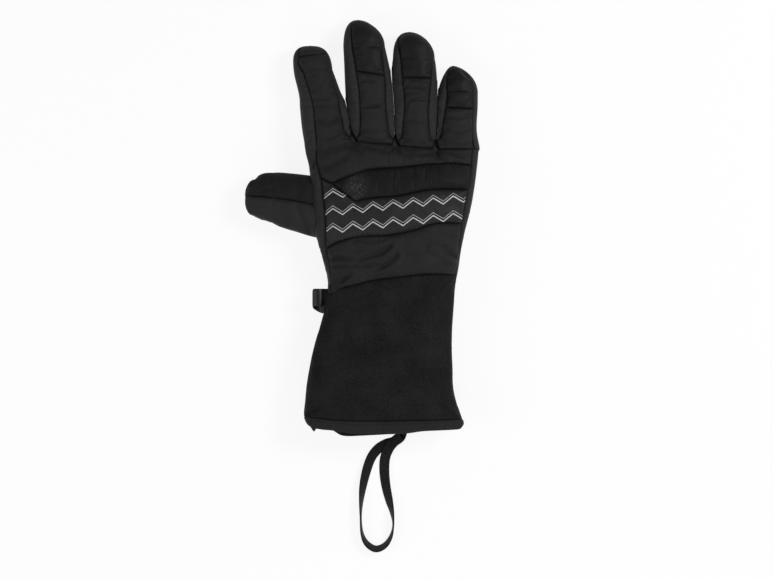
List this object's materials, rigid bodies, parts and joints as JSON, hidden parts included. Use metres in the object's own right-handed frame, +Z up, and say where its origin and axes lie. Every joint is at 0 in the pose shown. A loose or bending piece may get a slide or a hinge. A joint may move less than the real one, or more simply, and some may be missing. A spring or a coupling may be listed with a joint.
{
  "type": "ski glove",
  "caption": "Padded right-hand ski glove of sewn back, palm, side and cap panels over a lining, with folding fingers and thumb, a swinging cuff, a clip loop and a wrist leash.",
  "frame": {"origin": "middle of the palm patch's lower face, on which the glove rests", "axes": "+X towards the little finger, +Y towards the fingertips, +Z up from the palm to the back of the hand"},
  "size_m": [0.1606, 0.3635, 0.0378],
  "materials": {
    "softshell": "matte softshell",
    "synthetic_leather": "matt grain",
    "knuckle_gloss": "ribbed, slightly glossy",
    "cuff_knit": "matte fine knit",
    "fleece": "brushed",
    "insulation": "wadding",
    "elastic": "ribbed elastic",
    "clip_tape": "smooth coated tape",
    "webbing": "woven webbing"
  },
  "bodies": {
    "hand": {"knuckle_panel": "softshell", "knuckle_band": "knuckle_gloss", "print_panel": "softshell", "wrist_panel": "softshell", "index_side_strip": "softshell", "little_side_strip": "softshell", "palm_panel": "synthetic_leather", "palm_patch": "synthetic_leather", "hand_insulation": "insulation", "hand_lining": "fleece", "wrist_elastic": "elastic"},
    "cuff": {"cuff_back": "cuff_knit", "cuff_palm": "cuff_knit", "cuff_lining": "fleece", "hem_binding": "softshell"},
    "clip_loop": {"clip_loop": "clip_tape"},
    "leash": {"leash_strap": "webbing"},
    "thumb": {"thumb_outer_panel": "softshell", "thumb_inner_panel": "synthetic_leather", "thumb_lining": "fleece"},
    "index_base": {"index_base_back": "softshell", "index_base_palm": "synthetic_leather", "index_base_sides": "softshell", "index_base_lining": "fleece"},
    "index_tip": {"index_tip_back": "softshell", "index_tip_cap": "synthetic_leather", "index_tip_palm": "synthetic_leather", "index_tip_sides": "softshell", "index_tip_lining": "fleece"},
    "middle_base": {"middle_base_back": "softshell", "middle_base_palm": "synthetic_leather", "middle_base_sides": "softshell", "middle_base_lining": "fleece"},
    "middle_tip": {"middle_tip_back": "softshell", "middle_tip_cap": "synthetic_leather", "middle_tip_palm": "synthetic_leather", "middle_tip_sides": "softshell", "middle_tip_lining": "fleece"},
    "ring_base": {"ring_base_back": "softshell", "ring_base_palm": "synthetic_leather", "ring_base_sides": "softshell", "ring_base_lining": "fleece"},
    "ring_tip": {"ring_tip_back": "softshell", "ring_tip_cap": "synthetic_leather", "ring_tip_palm": "synthetic_leather", "ring_tip_sides": "softshell", "ring_tip_lining": "fleece"},
    "little_base": {"little_base_back": "softshell", "little_base_palm": "synthetic_leather", "little_base_sides": "softshell", "little_base_lining": "fleece"},
    "little_tip": {"little_tip_back": "softshell", "little_tip_cap": "synthetic_leather", "little_tip_palm": "synthetic_leather", "little_tip_sides": "softshell", "little_tip_lining": "fleece"}
  },
  "joints": [
    {"name": "index_knuckle", "type": "hinge", "parent": "hand", "child": "index_base", "pos_m": [-0.04375, 0.05, 0.0135], "axis": [-1, 0, 0], "range_deg": [-8, 70], "stiffness_Nm_per_rad": 0.05},
    {"name": "index_middle_fold", "type": "hinge", "parent": "index_base", "child": "index_tip", "pos_m": [-0.04968, 0.082, 0.01229], "axis": [-1, 0, 0], "range_deg": [-8, 75], "stiffness_Nm_per_rad": 0.04},
    {"name": "middle_knuckle", "type": "hinge", "parent": "hand", "child": "middle_base", "pos_m": [-0.0125, 0.05, 0.0135], "axis": [-1, 0, 0], "range_deg": [-8, 70], "stiffness_Nm_per_rad": 0.05},
    {"name": "middle_middle_fold", "type": "hinge", "parent": "middle_base", "child": "middle_tip", "pos_m": [-0.016, 0.09, 0.0123], "axis": [-1, 0, 0], "range_deg": [-8, 75], "stiffness_Nm_per_rad": 0.04},
    {"name": "ring_knuckle", "type": "hinge", "parent": "hand", "child": "ring_base", "pos_m": [0.016, 0.05, 0.0135], "axis": [-1, 0, 0], "range_deg": [-8, 70], "stiffness_Nm_per_rad": 0.05},
    {"name": "ring_middle_fold", "type": "hinge", "parent": "ring_base", "child": "ring_tip", "pos_m": [0.01569, 0.086, 0.01231], "axis": [-1, 0, 0], "range_deg": [-8, 75], "stiffness_Nm_per_rad": 0.04},
    {"name": "little_knuckle", "type": "hinge", "parent": "hand", "child": "little_base", "pos_m": [0.04525, 0.05, 0.0135], "axis": [-1, 0, 0], "range_deg": [-8, 70], "stiffness_Nm_per_rad": 0.05},
    {"name": "little_middle_fold", "type": "hinge", "parent": "little_base", "child": "little_tip", "pos_m": [0.04525, 0.072, 0.0125], "axis": [-1, 0, 0], "range_deg": [-8, 75], "stiffness_Nm_per_rad": 0.04},
    {"name": "thumb_fold", "type": "hinge", "parent": "hand", "child": "thumb", "pos_m": [-0.06, 0.006, 0.014], "axis": [0, -1, 0], "range_deg": [0, 55], "stiffness_Nm_per_rad": 0.06},
    {"name": "wrist_swing", "type": "hinge", "parent": "hand", "child": "cuff", "pos_m": [0, -0.047, 0.017], "axis": [1, 0, 0], "range_deg": [-35, 35], "stiffness_Nm_per_rad": 0.15},
    {"name": "clip_flap", "type": "hinge", "parent": "cuff", "child": "clip_loop", "pos_m": [-0.04795, -0.058, 0.017], "axis": [0.1706, 0.9853, 0], "range_deg": [-40, 40]},
    {"name": "leash_swing", "type": "hinge", "parent": "cuff", "child": "leash", "pos_m": [0.0062, -0.1471, 0.0032], "axis": [1, 0, 0], "range_deg": [-60, 60]}
  ]
}
